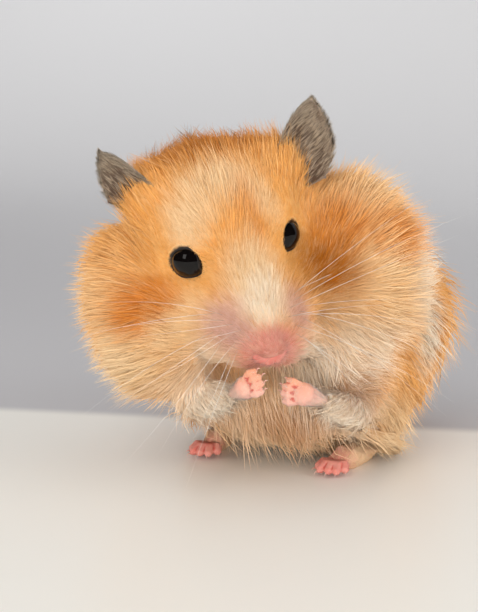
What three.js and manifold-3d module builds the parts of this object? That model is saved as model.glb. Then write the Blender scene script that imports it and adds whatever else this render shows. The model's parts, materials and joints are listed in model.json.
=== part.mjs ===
// A Syrian hamster sitting up on its haunches, cheek pouches full, with both hands at its mouth.
// Millimetres, +Z up. The animal's trunk faces -Y, its left side is +X, and its head is turned to its left.
// The soft body is written as smooth fields, negative inside; each piece is a ball pushed out to a field.
import * as THREE from "three";
import { mergeVertices } from "three/addons/utils/BufferGeometryUtils.js";
import Module from "manifold-3d";

const wasm = await Module();
wasm.setup();

// ---- driving sizes ------------------------------------------------------------------------------

const GAP = 0.3; // clearance between touching pieces
const SIDES = { left: 1, right: -1 };

// The head has a frame of its own: origin midway between the eyes, -Y towards the nose, +Z up.
const HEAD = {
  place: [0.8, -26.3, 53.5],
  turn: 54, // degrees, to the animal's left
  nod: 37.6, // nose down
  tilt: -16, // left ear up
};
const EYE = { at: [10.1, -2.8, 0.9], radius: 3.8 };
const NOSE = { at: [0, -22.4, -10.1], radii: [3.4, 2.2, 2.7] };
const JAW = { at: [0, -11, -17], radii: [5.2, 7.5, 4.2] };
// Each ear turns on its own: where it grows, where it ends, and the way its cup faces.
const EARS = {
  left: { root: [19.2, 8.4, 5.3], tip: [23.9, 17.7, 17.9], faces: [0.1, -0.83, 0.49] },
  right: { root: [-16.7, 6.4, 6.3], tip: [-22.9, 17.9, 17.1], faces: [-0.8, -0.5, 0.28] },
};
const EAR = { half_width: 8, thick: 1.1 };
const POUCHES = {
  left: { at: [27.3, 0.6, -21.5], radii: [19, 22, 26] },
  right: { at: [-16.7, 6.6, -23.5], radii: [15.5, 23, 22] },
};

const FOOT = { heel: [18.6, 10.5, 2], ball: [16.1, -3.5, 2.2], toe_long: 6.2, toe_radius: 1.3 };
const TOES = [-36, -17, 0, 15, 32]; // degrees from straight ahead, from the inside out
const ARMS = {
  left: {
    shoulder: [21, -3, 24],
    elbow: [25, -15.5, 17],
    wrist: [22, -28, 22.2],
    palm: [19.5, -31.5, 23.7],
    grip: [12.5, -35.5, 25.5],
  },
  right: {
    shoulder: [-16, -12, 25],
    elbow: [-8.5, -28, 19],
    wrist: [6, -34.5, 22.7],
    palm: [8.6, -36, 24.9],
    grip: [13.7, -37.2, 27.7],
  },
};
const ARM = { shoulder_radius: 9.5, elbow_radius: 5.5, wrist_radius: 3, palm_radius: 2.5 };
const CLAW = { long: 1.0, radius: 0.32 };
const NECK = { nape: [2.5, 13.4, -12.6], nape_radius: 18, shoulders: [-1, 12, 38], shoulders_radius: 23.5 };
const TAIL = { root: [0, 43, 6.2], tip: [0, 51.5, 2.6], root_radius: 2.8, tip_radius: 1.4 };

const COLOURS = {
  fur: [0xe0a05c, 0.85],
  pale_fur: [0xeedcc2, 0.85],
  pink_skin: [0xe39a8c, 0.5],
  ear_skin: [0x8d8178, 0.7],
  eye: [0x080606, 0.08],
  claw: [0xefe0d2, 0.4],
};

// ---- fields: each takes a THREE.Vector3 and gives about the distance to its surface, negative inside 

const vec = (a) => new THREE.Vector3(...a);
const between = (a, b, t) => vec(a).lerp(vec(b), t).toArray();
const radians = THREE.MathUtils.degToRad;

function ellipsoid(centre, radii, lean = 0) {
  const back = new THREE.Matrix4().makeRotationX(radians(lean)).setPosition(vec(centre)).invert();
  const r = vec(radii);
  const q = new THREE.Vector3();
  return (p) => {
    q.copy(p).applyMatrix4(back).divide(r);
    const k0 = q.length();
    if (k0 < 0.05) return -Math.min(r.x, r.y, r.z);
    return (k0 * (k0 - 1)) / q.divide(r).length();
  };
}

// A round-ended cone from a, with radius ra, to b, with radius rb.
function limb(a, b, ra, rb) {
  const start = vec(a);
  const along = vec(b).sub(start);
  const q = new THREE.Vector3();
  return (p) => {
    q.copy(p).sub(start);
    const t = THREE.MathUtils.clamp(q.dot(along) / along.lengthSq(), 0, 1);
    return q.addScaledVector(along, -t).length() - (ra + (rb - ra) * t);
  };
}

// One smooth surface over several fields; `soft` is how far, in millimetres, each runs into the next.
function blend(soft, ...fields) {
  return (p) => -soft * Math.log(fields.reduce((sum, f) => sum + Math.exp(-f(p) / soft), 0));
}

function posed(matrix, field) {
  const back = matrix.clone().invert();
  const q = new THREE.Vector3();
  return (p) => field(q.copy(p).applyMatrix4(back));
}

const mirror = ([x, y, z], side) => [x * side, y, z];
const both = (make) => Object.values(SIDES).map(make);

// ---- solids -------------------------------------------------------------------------------------

function solid(geometry) {
  geometry.deleteAttribute("normal");
  geometry.deleteAttribute("uv");
  const merged = mergeVertices(geometry, 1e-4);
  return new wasm.Manifold(
    new wasm.Mesh({
      numProp: 3,
      vertProperties: merged.attributes.position.array,
      triVerts: new Uint32Array(merged.index.array),
    }),
  );
}

// A ball around `centre` whose every point is pushed out to where `field` first reaches `level`.
function swell(field, centre, detail, level = 0) {
  const STEP = 0.5;
  const REACH = 60;
  const HALVINGS = 12;
  const ball = new THREE.IcosahedronGeometry(1, detail);
  const at = ball.attributes.position;
  const middle = vec(centre);
  const ray = new THREE.Vector3();
  const p = new THREE.Vector3();
  const outside = (r) => field(p.copy(middle).addScaledVector(ray, r)) > level;
  for (let i = 0; i < at.count; i++) {
    ray.fromBufferAttribute(at, i).normalize();
    let far = STEP;
    while (far < REACH && !outside(far)) far += STEP;
    let near = far - STEP;
    for (let k = 0; k < HALVINGS; k++) {
      const mid = (near + far) / 2;
      if (outside(mid)) far = mid;
      else near = mid;
    }
    p.copy(middle).addScaledVector(ray, near);
    at.setXYZ(i, p.x, p.y, p.z);
  }
  return solid(ball);
}

// A form with its tight solid and a loose one that cuts its neighbours clear by GAP.
function form(field, centre, detail) {
  return {
    tight: swell(field, centre, detail),
    loose: swell(field, centre, detail, GAP),
  };
}

function join(...forms) {
  return {
    tight: forms.map((f) => f.tight).reduce((a, b) => a.add(b)),
    loose: forms.map((f) => f.loose).reduce((a, b) => a.add(b)),
  };
}

// A finger or toe: a ball drawn out along a bent line through `points`, thick by `radii` at each.
function digit(points, radii, grow = 0) {
  const ROUND = 6;
  const RINGS = 4;
  const line = new THREE.CatmullRomCurve3(points.map(vec));
  const ball = new THREE.SphereGeometry(1, ROUND, RINGS);
  ball.rotateX(Math.PI / 2);
  const at = ball.attributes.position;
  const up = new THREE.Vector3(0, 0, 1);
  for (let i = 0; i < at.count; i++) {
    const z = THREE.MathUtils.clamp(at.getZ(i), -1, 1);
    const t = (1 + z) / 2;
    const knot = t * (radii.length - 1);
    const before = Math.min(Math.floor(knot), radii.length - 2);
    const radius = THREE.MathUtils.lerp(radii[before], radii[before + 1], knot - before) + grow;
    const along = line.getTangent(t);
    const across = new THREE.Vector3().crossVectors(along, up).normalize();
    const over = new THREE.Vector3().crossVectors(across, along);
    const ring = Math.max(Math.sqrt(1 - z * z), 1e-6);
    const girth = (radius * ring ** 0.5) / ring;
    const p = line
      .getPoint(t)
      .addScaledVector(along, z * grow)
      .addScaledVector(across, at.getX(i) * girth)
      .addScaledVector(over, -at.getY(i) * girth);
    at.setXYZ(i, p.x, p.y, p.z);
  }
  return solid(ball);
}

function digit_form(points, radii) {
  return { tight: digit(points, radii), loose: digit(points, radii, GAP) };
}

// The half of space that `normal` points into from `point`, held back by half a gap.
function beyond(point, normal, gap = GAP) {
  const SIZE = 300;
  const box = new THREE.BoxGeometry(SIZE, SIZE, SIZE);
  box.translate(0, 0, (SIZE + gap) / 2);
  const n = vec(normal).normalize();
  box.applyQuaternion(new THREE.Quaternion().setFromUnitVectors(new THREE.Vector3(0, 0, 1), n));
  box.translate(...point);
  return solid(box);
}

// Both sides of a thin cut.
function part(piece, point, normal) {
  const reverse = normal.map((c) => -c);
  return [piece.intersect(beyond(point, normal)), piece.intersect(beyond(point, reverse))];
}

const above_floor = beyond([0, 0, 0], [0, 0, 1], 0);

// ---- the head -----------------------------------------------------------------------------------

const head_frame = new THREE.Matrix4()
  .makeRotationFromEuler(new THREE.Euler(radians(HEAD.nod), radians(HEAD.tilt), radians(HEAD.turn), "ZXY"))
  .setPosition(vec(HEAD.place));
const in_head = (p) => vec(p).applyMatrix4(head_frame).toArray();
const head_way = (p) => vec(p).transformDirection(head_frame).toArray();

// The skull with the muzzle, swelled from inside the skull, and each pouch swelled from its own middle.
const skull_field = posed(
  head_frame,
  blend(
    1.6,
    ellipsoid([0, 9.5, 0.5], [19, 19, 14]), // skull
    ...both((s) => ellipsoid([13 * s, 12, 3], [8.5, 9, 10.5])), // temples, under the ears
    ellipsoid([0, -7, -5.9], [9.2, 14.2, 8.2], 28), // bridge of the muzzle
    ellipsoid([0, -1, -11], [14, 14, 10]), // jaw muscles
    ...both((s) => ellipsoid([4.8 * s, -14.8, -12], [6.2, 6.5, 5.7], 24)), // whisker pads
  ),
);
const skull_form = form(skull_field, in_head([0, 2, -5]), 5);

function pouch(side) {
  const { at, radii } = POUCHES[side];
  const inner = mirror([11, 2, -10], SIDES[side]);
  const field = blend(2, ellipsoid(at, radii), ellipsoid(inner, [9, 14, 12]));
  return form(posed(head_frame, field), in_head(between(at, inner, 0.25)), 4);
}
const head = join(skull_form, pouch("left"), pouch("right"));

const nose = form(posed(head_frame, ellipsoid(NOSE.at, NOSE.radii, 20)), in_head(NOSE.at), 1);
const jaw = form(posed(head_frame, ellipsoid(JAW.at, JAW.radii, 14)), in_head(JAW.at), 1);

function eye(side) {
  const SOCKET = 0.5; // clearance of the socket, which has fewer facets than the ball
  const centre = in_head(mirror(EYE.at, SIDES[side]));
  const ball = ellipsoid(centre, [EYE.radius, EYE.radius, EYE.radius]);
  return { tight: swell(ball, centre, 2), loose: swell(ball, centre, 1, SOCKET) };
}

// A cupped leaf: a ball whose height runs from root to tip and whose width wraps round the ear.
function ear(side) {
  const CUP = 1.0; // radians that half the width wraps round
  const WIDEST = 0.4; // how far up the leaf it is widest
  const BURIED = 0.3; // how much of the leaf's height lies below the root, in the head
  const { root, tip, faces } = EARS[side];
  const base = vec(root);
  const up = vec(tip).sub(base);
  const height = up.length();
  up.normalize();
  const facing = vec(faces);
  facing.addScaledVector(up, -facing.dot(up)).normalize();
  const across = new THREE.Vector3().crossVectors(facing, up);
  const leaf = new THREE.SphereGeometry(1, 12, 9);
  leaf.rotateX(Math.PI / 2);
  const at = leaf.attributes.position;
  for (let i = 0; i < at.count; i++) {
    const z = at.getZ(i);
    const rise = (z + 1) / 2;
    const ring = Math.sqrt(Math.max(1 - z * z, 1e-9));
    const above = Math.max(rise - WIDEST, 0) / (1 - WIDEST);
    const below = Math.max(WIDEST - rise, 0) / WIDEST;
    const outline = 1 - above ** 2.2 - 0.3 * below;
    const bow = Math.max(EAR.half_width * outline * Math.min(1, ring * 2), 0.6) / CUP;
    const angle = (at.getX(i) / ring) * CUP;
    const thick = ((at.getY(i) / ring) * Math.min(1, ring * 1.8) * EAR.thick) / 2;
    const p = base
      .clone()
      .addScaledVector(up, height * (rise * (1 + BURIED) - BURIED))
      .addScaledVector(across, Math.sin(angle) * (bow - thick))
      .addScaledVector(facing, -Math.cos(angle) * (bow - thick) + bow * 0.6);
    at.setXYZ(i, p.x, p.y, p.z);
  }
  leaf.applyMatrix4(head_frame);
  return solid(leaf);
}

// ---- the trunk ----------------------------------------------------------------------------------

const trunk_field = blend(
  3,
  ellipsoid([0, 24, 30], [33.5, 31, 26.5]), // rump and flanks
  ellipsoid([0, 3, 33], [26, 25, 25]), // chest and shoulders
  ellipsoid([0, 24, 16], [25, 27, 15.9]), // seat
  ellipsoid([0, -2, 18], [23, 18, 16]), // belly
  limb(in_head(NECK.nape), NECK.shoulders, NECK.nape_radius, NECK.shoulders_radius),
  ...both((s) => ellipsoid([16.5 * s, 8, 12], [12, 17, 12])), // haunches
);
const trunk_form = form(trunk_field, [0, 14, 24], 5);

// What lies outside a plane beside the belly and under a plane across the flank.
function thigh_space(side, gap) {
  const s = SIDES[side];
  const beside_belly = beyond([9 * s, 0, 0], [s, 0.2, 0.1], gap);
  const under_flank = beyond([22 * s, 6, 21], [0.45 * s, -0.1, -0.9], gap);
  return beside_belly.intersect(under_flank);
}

// ---- hind feet ----------------------------------------------------------------------------------

function foot(side) {
  const s = SIDES[side];
  const heel = mirror(FOOT.heel, s);
  const ball = mirror(FOOT.ball, s);
  const sole = form(limb(heel, ball, 2.4, 3.2), between(heel, ball, 0.6), 1);
  const toes = TOES.map((angle) => {
    const turn = radians(angle * s);
    const way = [Math.sin(turn), -Math.cos(turn), 0];
    const reach = FOOT.toe_long * (Math.abs(angle) > 30 ? 0.75 : 1);
    const along = (distance, height) => [ball[0] + way[0] * distance, ball[1] + way[1] * distance, height];
    const end = along(2 + reach, 1);
    return {
      ...digit_form([along(2, 2), along(2 + reach / 2, 2.2), end], [1.2, FOOT.toe_radius, 1.05]),
      end,
      way: [way[0], way[1], -0.2],
    };
  });
  const spread = limb(heel, [ball[0], ball[1] - 3, ball[2]], 2.8, 5.4);
  return { ...join(sole, ...toes), room: swell(spread, between(heel, ball, 0.8), 1, 1), tips: toes };
}

// ---- arms and hands -----------------------------------------------------------------------------

function arm(side) {
  const { shoulder, elbow, wrist } = ARMS[side];
  const upper_field = limb(shoulder, elbow, ARM.shoulder_radius, ARM.elbow_radius);
  const fore_field = limb(elbow, wrist, ARM.elbow_radius, ARM.wrist_radius);
  return {
    upper: form(upper_field, between(shoulder, elbow, 0.5), 2),
    fore: form(fore_field, between(elbow, wrist, 0.4), 1),
  };
}

// Four fingers curl side by side from the palm, with their tips bent in towards the mouth.
function hand(side) {
  const REACHES = [3.6, 4.4, 4.3, 3.4];
  const { wrist, palm, grip } = ARMS[side];
  const forward = vec(grip).sub(vec(palm)).normalize();
  const stack = new THREE.Vector3(0, 0, 1).addScaledVector(forward, -forward.z).normalize();
  const inward = new THREE.Vector3().crossVectors(stack, forward).multiplyScalar(SIDES[side]);
  const fingers = REACHES.map((reach, i) => {
    const lift = (1.5 - i) * 1.25;
    const from = vec(palm).addScaledVector(stack, lift * 0.9).addScaledVector(forward, 0.6);
    const knuckle = from
      .clone()
      .addScaledVector(forward, reach * 0.6)
      .addScaledVector(stack, lift * 0.25)
      .addScaledVector(inward, 0.5);
    const end = knuckle.clone().addScaledVector(forward, reach * 0.35).addScaledVector(inward, -1.3);
    return {
      ...digit_form([from, knuckle, end].map((p) => p.toArray()), [0.95, 0.95, 0.75]),
      end: end.toArray(),
      way: end.clone().sub(knuckle).toArray(),
    };
  });
  const palm_form = form(limb(wrist, palm, 2.0, ARM.palm_radius), palm, 1);
  return { ...join(palm_form, ...fingers), tips: fingers };
}

// A claw: a slender cone that leaves the tip of a toe or finger, a gap away from it.
function claw({ end, way }) {
  const SIDES_ROUND = 5;
  const cone = new THREE.ConeGeometry(CLAW.radius, CLAW.long, SIDES_ROUND);
  const up = new THREE.Vector3(0, 1, 0);
  cone.translate(0, CLAW.long / 2 + GAP, 0);
  cone.applyQuaternion(new THREE.Quaternion().setFromUnitVectors(up, vec(way).normalize()));
  cone.translate(...end);
  return solid(cone);
}

// ---- the pieces, each cut clear of those before it ----------------------------------------------

const group = new THREE.Group();

function add(name, piece, [colour, roughness]) {
  const bodies = piece.decompose().sort((a, b) => b.volume() - a.volume());
  const { vertProperties, triVerts } = bodies[0].getMesh();
  const geometry = new THREE.BufferGeometry();
  geometry.setAttribute("position", new THREE.BufferAttribute(vertProperties, 3));
  geometry.setIndex(new THREE.BufferAttribute(triVerts, 1));
  const material = new THREE.MeshStandardMaterial({ color: colour, roughness, metalness: 0 });
  const mesh = new THREE.Mesh(geometry, material);
  mesh.name = name;
  group.add(mesh);
}

const clear = (piece, ...cutters) => cutters.reduce((left, cutter) => left.subtract(cutter), piece);
const per_side = (make) => Object.fromEntries(Object.keys(SIDES).map((side) => [side, make(side)]));

const eyes = per_side(eye);
const ears = per_side(ear);
const arms = per_side(arm);
const hands = per_side(hand);
const feet = per_side(foot);

function add_head() {
  const face = clear(head.tight, eyes.left.loose, eyes.right.loose, nose.loose, jaw.loose);
  const [cheek_left, without_left] = part(face, in_head([15.5, 4, -13]), head_way([1, 0.12, -0.42]));
  const [cheek_right, middle] = part(without_left, in_head([-15.5, 4, -13]), head_way([-1, 0.12, -0.42]));
  const [muzzle, skull] = part(middle, in_head([0, -7.6, -6]), head_way([0, -1, -0.35]));
  add("head", skull, COLOURS.fur);
  add("muzzle", muzzle, COLOURS.pale_fur);
  add("nose", nose.tight, COLOURS.pink_skin);
  add("lower_jaw", jaw.tight, COLOURS.pale_fur);
  add("cheek_left", cheek_left, COLOURS.fur);
  add("cheek_right", cheek_right, COLOURS.fur);
  for (const side of Object.keys(SIDES)) {
    add(`eye_${side}`, eyes[side].tight, COLOURS.eye);
    add(`ear_${side}`, ears[side].subtract(head.loose), COLOURS.ear_skin);
  }
}

function add_trunk() {
  const limbs = Object.keys(SIDES).flatMap((side) => [
    arms[side].upper.loose,
    arms[side].fore.loose,
    hands[side].loose,
    feet[side].room,
  ]);
  const body = clear(trunk_form.tight.intersect(above_floor), head.loose, jaw.loose, ...limbs);
  let [rump, front] = part(body, [0, 28, 20], [0, 1, -0.1]);
  for (const side of Object.keys(SIDES)) {
    add(`thigh_${side}`, front.intersect(thigh_space(side, GAP)), COLOURS.fur);
    front = front.subtract(thigh_space(side, -GAP));
  }
  const [neck, trunk] = part(front, [0, 2, 40], [-0.1, -0.5, 0.85]);
  add("neck", neck, COLOURS.fur);
  add("trunk", trunk, COLOURS.fur);
  add("rump", rump, COLOURS.fur);
}

function add_limbs() {
  for (const side of Object.keys(SIDES)) {
    const { upper, fore } = arms[side];
    const face = [head.loose, jaw.loose];
    add(`upper_arm_${side}`, clear(upper.tight, fore.loose, hands[side].loose, ...face), COLOURS.pale_fur);
    add(`forearm_${side}`, clear(fore.tight, hands[side].loose, ...face), COLOURS.pale_fur);
    add(`hand_${side}`, clear(hands[side].tight, ...face), COLOURS.pink_skin);
    add(`foot_${side}`, feet[side].tight.intersect(above_floor), COLOURS.pink_skin);
    hands[side].tips.forEach((tip, i) => add(`claw_hand_${side}_${i + 1}`, claw(tip), COLOURS.claw));
    feet[side].tips.forEach((tip, i) => add(`claw_foot_${side}_${i + 1}`, claw(tip), COLOURS.claw));
  }
}

function add_tail() {
  const field = limb(TAIL.root, TAIL.tip, TAIL.root_radius, TAIL.tip_radius);
  const whole = swell(field, between(TAIL.root, TAIL.tip, 0.4), 2);
  add("tail", clear(whole, trunk_form.loose), COLOURS.pink_skin);
}

add_head();
add_trunk();
add_limbs();
add_tail();

// the origin is the middle of the animal's box, on the floor
const middle = new THREE.Box3().setFromObject(group).getCenter(new THREE.Vector3());
group.position.set(-middle.x, -middle.y, 0);

export default group;
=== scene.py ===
"""A sitting Syrian hamster with full cheek pouches: skin, coat, eyes, claws and whiskers.

Lengths in this file are millimetres unless a name says otherwise; Blender's own units are metres.
"""

import json
import math
import bmesh
import bpy
import numpy as np
from bpy.props import FloatProperty, FloatVectorProperty, PointerProperty
from mathutils import Matrix, Vector
from mathutils.bvhtree import BVHTree
from mathutils.kdtree import KDTree

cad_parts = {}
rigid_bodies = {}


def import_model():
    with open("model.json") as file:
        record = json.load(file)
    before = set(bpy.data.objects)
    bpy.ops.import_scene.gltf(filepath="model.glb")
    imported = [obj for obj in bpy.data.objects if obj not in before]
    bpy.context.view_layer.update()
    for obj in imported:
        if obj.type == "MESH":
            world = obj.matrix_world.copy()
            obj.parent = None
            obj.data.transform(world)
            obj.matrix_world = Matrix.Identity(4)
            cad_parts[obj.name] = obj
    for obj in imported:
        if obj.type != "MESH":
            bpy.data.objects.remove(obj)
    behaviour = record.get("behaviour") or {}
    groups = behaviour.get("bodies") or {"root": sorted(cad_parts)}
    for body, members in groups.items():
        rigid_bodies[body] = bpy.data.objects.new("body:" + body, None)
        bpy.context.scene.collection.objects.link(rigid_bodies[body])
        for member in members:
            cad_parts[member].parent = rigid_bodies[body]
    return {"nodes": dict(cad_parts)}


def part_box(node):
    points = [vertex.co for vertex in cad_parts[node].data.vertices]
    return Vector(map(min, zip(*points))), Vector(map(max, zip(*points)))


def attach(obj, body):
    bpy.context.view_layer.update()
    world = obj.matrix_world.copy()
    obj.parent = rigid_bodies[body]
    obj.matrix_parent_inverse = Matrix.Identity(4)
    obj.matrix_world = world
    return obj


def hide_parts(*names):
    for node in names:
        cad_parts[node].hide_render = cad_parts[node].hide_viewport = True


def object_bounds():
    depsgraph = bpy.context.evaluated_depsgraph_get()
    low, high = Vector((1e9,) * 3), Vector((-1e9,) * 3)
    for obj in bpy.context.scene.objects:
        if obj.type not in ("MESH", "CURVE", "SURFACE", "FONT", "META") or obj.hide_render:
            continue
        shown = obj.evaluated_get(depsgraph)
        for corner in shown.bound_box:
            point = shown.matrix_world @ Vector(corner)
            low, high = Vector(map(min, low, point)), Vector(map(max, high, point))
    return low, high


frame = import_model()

SOLID_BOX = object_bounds()

bl_info = {
    "name": "Sitting Hamster",
    "version": (1, 0, 0),
    "blender": (4, 5, 0),
    "location": "3D View > Sidebar > Hamster",
    "description": "Dresses a sitting hamster's solids with skin, coat, eyes, claws and whiskers",
    "category": "Object",
}

MM = 0.001
SIDES = {"left": 1, "right": -1}
SEED = 20260
FLOOR_GAP = 0.15 * MM  # how far the coat's tips stay off the floor
MEET = 0.35  # how far the furred solids are swollen so that neighbours meet
EYE_BED = 0.5  # how far the flesh behind an eyeball stays inside it

# For each furred part, how deep the skin lies under the coat's tips and how long its tufts are.
COAT = {
    "head": (2.9, 6.4), "muzzle": (0.8, 4.2), "lower_jaw": (0.9, 3.0), "cheek": (3.8, 9.5),
    "neck": (4.0, 9.0), "trunk": (4.6, 11.0), "rump": (4.8, 12.0), "thigh": (4.2, 9.0),
    "upper_arm": (2.6, 6.5), "forearm": (1.5, 5.5), "tail": (0.4, 1.2),
}
FURRED = tuple(node for part in COAT for node in (part, f"{part}_left", f"{part}_right")
               if node in frame["nodes"])
BARE = (*(f"{part}_{side}" for part in ("hand", "foot", "ear") for side in SIDES), "nose")


def kind(node):
    """A part's name without its side."""
    return node.replace("_left", "").replace("_right", "")


DEPTHS, LENGTHS = np.array([COAT[kind(node)] for node in FURRED]).T


def middle(node):
    """The middle of a solid's box, in metres."""
    low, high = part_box(node)
    return (low + high) / 2


def unit(v):
    """Arrays of vectors brought to length one."""
    return v / np.maximum(np.linalg.norm(v, axis=-1, keepdims=True), 1e-12)


def laid(ways, normals):
    """Directions brought flat on to a surface, at length one."""
    return unit(ways - normals * (ways * normals).sum(1, keepdims=True))


def gap_to(points, place):
    """How far points are from a place given in metres, in millimetres."""
    return np.linalg.norm(points - np.array(place), axis=1) / MM


def ramp(x, low, high):
    """0 below low, 1 above high, and a smooth rise between; low may be the larger."""
    t = np.clip((x - low) / (high - low), 0.0, 1.0)
    return t * t * (3 - 2 * t)


class Face:
    """The head's own axes: left across the eyes, ahead to the nose, up off the bridge of the nose."""

    def __init__(self):
        eyes = [middle(f"eye_{side}") for side in SIDES]
        self.origin = (eyes[0] + eyes[1]) / 2
        self.left = (eyes[0] - eyes[1]).normalized()
        ahead = middle("nose") - self.origin
        self.ahead = (ahead - self.left * ahead.dot(self.left)).normalized()
        self.up = self.ahead.cross(self.left)
        self.axes = np.array([self.left[:], self.ahead[:], self.up[:]])
        self.turn = Matrix((self.left, -self.ahead, self.up)).transposed().to_euler()

    def way(self, left, ahead, up):
        """A direction on the head."""
        return (self.left * left + self.ahead * ahead + self.up * up).normalized()

    def point(self, left, ahead, up):
        """A place on the head in metres, from its distances in millimetres."""
        return self.origin + (self.left * left + self.ahead * ahead + self.up * up) * MM

    def measured(self, points):
        """How far points lie to the left, ahead and up on the head, in millimetres."""
        return (points - np.array(self.origin)) @ self.axes.T / MM


FACE = Face()
NOSE_TIP = np.array(FACE.point(0, 24, 0))

# Flesh that rounds the muzzle and lips out under their hair: how far to the hamster's left, ahead of the
# eyes and off the bridge of the nose each ball lies, and its radius.
LIP_FLESH = (
    ((0, 19.2, -2.6), 4.7), ((-6.6, 17, -6.4), 5.6), ((7.2, 19.5, -6), 5.6), ((-8, 12, -6), 6.0),
    ((9.5, 23.5, -9.5), 5.4), ((10, 14, -6.5), 6.0), ((3.5, 22, -10), 5.0), ((-2.6, 20.4, -4.6), 5.0),
    ((3, 21.6, -5), 5.0),
)
# The thinly haired middles of the whisker pads, placed as the flesh of the lips is.
PADS = ((-7, 15.4, 0.6), (7, 17.4, 0))
# How near the middle of the head an ear's inner edge goes under the crown's hair.
EAR_TUCK = {"left": 14.0, "right": 19.4}
# How far each eye sits to the hamster's right of its solid.
EYE_SHIFT = {"left": 0.5, "right": 0.6}
# Hands and feet: the down all over them and its amount, how much of the length the root's hair leaves free,
# that hair's down and amount, how bare the skin is and how much less so at the root.
LIMBS = {
    "hand": ("pale_down", 1500, 0.6, "pale_down", 800, 0.62, 0.2),
    "foot": ("pink_down", 900, 0.75, "", 1500, 1.0, 0.85),
}


# ---------- meshes held as arrays


class Shell:
    """A triangle mesh held as arrays, with the neighbours of each point ready for smoothing."""

    def __init__(self, points, triangles):
        self.points = np.asarray(points, float)
        self.triangles = np.asarray(triangles, int)
        pairs = np.concatenate([self.triangles[:, two] for two in ([0, 1], [1, 2], [2, 0])])
        pairs = np.unique(np.sort(pairs, axis=1), axis=0)
        self.ends = np.concatenate([pairs, pairs[:, ::-1]])
        self.degree = np.maximum(np.bincount(self.ends[:, 0], minlength=len(self.points)), 1)

    def averaged(self, values, times=1, share=0.5):
        """Values at the points, blended with their neighbours' a number of times."""
        values = np.array(values, float)
        flat = values.reshape(len(values), -1)
        for _ in range(times):
            for k in range(flat.shape[1]):
                around = np.bincount(self.ends[:, 0], flat[self.ends[:, 1], k], len(flat)) / self.degree
                flat[:, k] += share * (around - flat[:, k])
        return flat.reshape(values.shape)

    def relax(self, times):
        """Smooths the surface without shrinking it: each pass in is followed by a pass out."""
        for _ in range(times):
            self.points = self.averaged(self.averaged(self.points), share=-0.52)

    def melt(self, where, times):
        """Runs one form into the next where a mask from 0 to 1 says so."""
        for _ in range(times):
            self.points += (self.averaged(self.points, share=1.0) - self.points) * (0.6 * where)[:, None]

    def normals(self):
        """The surface's direction at each point."""
        a, b, c = (self.points[self.triangles[:, k]] for k in range(3))
        faces = np.cross(b - a, c - a)
        total = np.zeros_like(self.points)
        for k in range(3):
            for axis in range(3):
                total[:, axis] += np.bincount(self.triangles[:, k], faces[:, axis], len(total))
        return unit(total)


def mesh_from(name, points, faces):
    """A smooth mesh from its points and faces."""
    mesh = bpy.data.meshes.new(name)
    mesh.from_pydata(np.asarray(points).tolist(), [], np.asarray(faces).tolist(), shade_flat=False)
    mesh.validate()
    return mesh


def arrays_of(mesh):
    """The points and triangles of a mesh."""
    mesh.calc_loop_triangles()
    points = np.array([point.co[:] for point in mesh.vertices])
    return points, np.array([triangle.vertices[:] for triangle in mesh.loop_triangles])


def welded(node):
    """A solid's points and triangles, with the corners that share a place made one."""
    points, triangles = arrays_of(frame["nodes"][node].data)
    keys, back = np.unique(np.round(points * 1e7).astype(np.int64), axis=0, return_inverse=True)
    triangles = back.reshape(-1)[triangles]
    sound = (np.diff(np.sort(triangles, axis=1), axis=1) > 0).all(1)
    return keys / 1e7, triangles[sound]


def joined(parts):
    """Several (points, faces) pairs as one."""
    starts = np.cumsum([0] + [len(points) for points, _ in parts])
    return (np.concatenate([points for points, _ in parts]),
            np.concatenate([np.asarray(faces) + start for (_, faces), start in zip(parts, starts)]))


def woven(rows, columns, rows_meet=False, columns_meet=False):
    """Triangles between the corners of a grid, whose rows or columns may meet end to end."""
    faces = []
    for row in range(rows - 1 + rows_meet):
        here, after = row * columns, (row + 1) % rows * columns
        for k in range(columns - 1 + columns_meet):
            beside = (k + 1) % columns
            faces += [(here + k, here + beside, after + beside), (here + k, after + beside, after + k)]
    return faces


def nearest_on(points, triangles, places):
    """For each place, the nearest triangle of a surface and how far off it is, in metres."""
    tree = BVHTree.FromPolygons(points.tolist(), triangles.tolist())
    found = [tree.find_nearest(place) for place in places.tolist()]
    return np.array([hit[2] for hit in found]), np.array([hit[3] for hit in found])


def point_tree(points):
    """A search tree over points."""
    tree = KDTree(len(points))
    for k, point in enumerate(points.tolist()):
        tree.insert(point, k)
    tree.balance()
    return tree


def link(name, data):
    """Puts an object in the scene."""
    made_object = bpy.data.objects.new(name, data)
    bpy.context.scene.collection.objects.link(made_object)
    return made_object


def place_piece(name, mesh, material, stands_for=()):
    """Puts a piece in the scene, riding on the model's one body."""
    piece = link(name, mesh)
    mesh.materials.append(material)
    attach(piece, "root")
    if stands_for:
        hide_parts(*stands_for)
    return piece


def recast(parts, grain):
    """One even skin over several closed shapes that overlap, at a grain in millimetres."""
    rough = link("rough", mesh_from("rough", *joined(parts)))
    remesh = rough.modifiers.new("even", "REMESH")
    remesh.mode = "VOXEL"
    remesh.voxel_size = grain * MM
    solid = bpy.data.meshes.new_from_object(rough.evaluated_get(bpy.context.evaluated_depsgraph_get()))
    shell = Shell(*arrays_of(solid))
    bpy.data.batch_remove((rough, rough.data, solid))
    return shell


def ball(centre, radius, level=4):
    """A ball's points and triangles from a divided twenty-sided solid; sizes in metres."""
    form = bmesh.new()
    bmesh.ops.create_icosphere(form, subdivisions=level, radius=radius)
    points = np.array([corner.co[:] for corner in form.verts]) + np.array(centre)
    triangles = np.array([[corner.index for corner in face.verts] for face in form.faces])
    form.free()
    return points, triangles


def swollen(node, amount):
    """A solid's surface moved out along its own directions, so that neighbours meet; millimetres."""
    shell = Shell(*welded(node))
    return shell.points + shell.normals() * amount * MM, shell.triangles


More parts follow.
